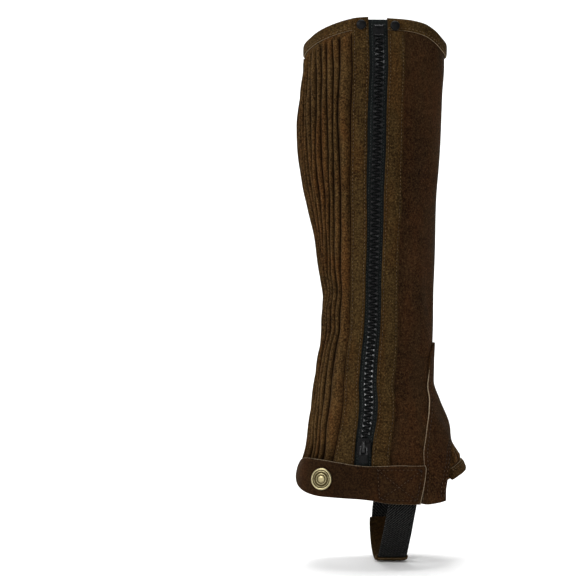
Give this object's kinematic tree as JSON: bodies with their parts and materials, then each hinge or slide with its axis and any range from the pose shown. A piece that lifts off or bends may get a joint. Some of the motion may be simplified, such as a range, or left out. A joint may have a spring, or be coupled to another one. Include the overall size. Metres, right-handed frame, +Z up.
{
  "type": "half chap",
  "caption": "Dark brown suede half chap, zipped up the outer side, with a ribbed elastic calf panel, a snap strap over the zip's foot and an elastic stirrup.",
  "frame": {"origin": "on the leg's axis at the fullest part of the calf, where the wearer's leg holds the half chap", "axes": "+Z up the shin, +X towards the toe, -Y to the outer side of the leg"},
  "size_m": [0.151, 0.1171, 0.474],
  "materials": {
    "dark_suede": "matt napped suede",
    "brown_suede": "matt napped suede",
    "ribbed_suede": "matt gathered suede",
    "zip_tape": "woven tape",
    "webbing": "twill elastic webbing",
    "black_plastic": "gloss",
    "antique_brass": "antiqued"
  },
  "bodies": {
    "chap": {"main_panel": "dark_suede", "ribbed_panel": "ribbed_suede", "back_strip": "brown_suede", "calf_patch": "brown_suede", "zip_facing_back": "brown_suede", "zip_facing_front": "brown_suede", "zip_tape_back": "zip_tape", "zip_tape_front": "zip_tape", "zip_chain": "black_plastic", "zip_box": "black_plastic", "zip_slider": "black_plastic", "top_binding": "brown_suede", "hem_lower": "brown_suede", "hem_instep": "brown_suede", "instep_piece": "dark_suede", "instep_insert": "ribbed_suede", "insert_hem": "brown_suede", "snap_strap": "dark_suede", "snap_button": "antique_brass", "stud_back": "black_plastic", "stud_front": "black_plastic", "anchor_patch": "dark_suede", "stirrup_elastic": "webbing", "stirrup_sleeve": "brown_suede"},
    "pull": {"zip_pull": "black_plastic"}
  },
  "joints": [
    {"name": "pull_hinge", "type": "hinge", "parent": "chap", "child": "pull", "pos_m": [-0.01309, -0.04971, -0.27655], "axis": [-0.99, 0.141, 0], "range_deg": [0, 150]}
  ]
}
